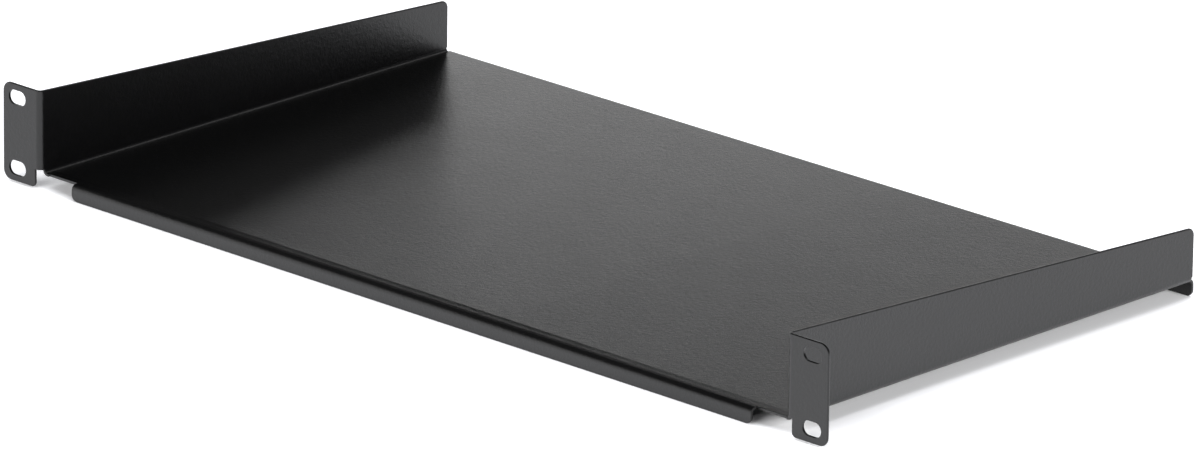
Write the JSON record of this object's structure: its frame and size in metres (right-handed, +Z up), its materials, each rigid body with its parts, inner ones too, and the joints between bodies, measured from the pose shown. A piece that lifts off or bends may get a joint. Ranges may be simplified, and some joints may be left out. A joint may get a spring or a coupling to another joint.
{
  "type": "cantilever rack shelf",
  "caption": "Shallow black cantilever shelf for a nineteen inch rack: one folded steel tray with slotted ears and low tapered side walls.",
  "frame": {"origin": "middle of the four rack slots, in the rear face of the ears", "axes": "+X across the rack to the right, +Y from the front to the back of the rack, +Z up"},
  "size_m": [0.4826, 0.2512, 0.0456],
  "materials": {
    "black_powder_coat": "fine textured black powder coat, satin"
  },
  "bodies": {
    "root": {"rack_shelf": "black_powder_coat"}
  },
  "joints": []
}
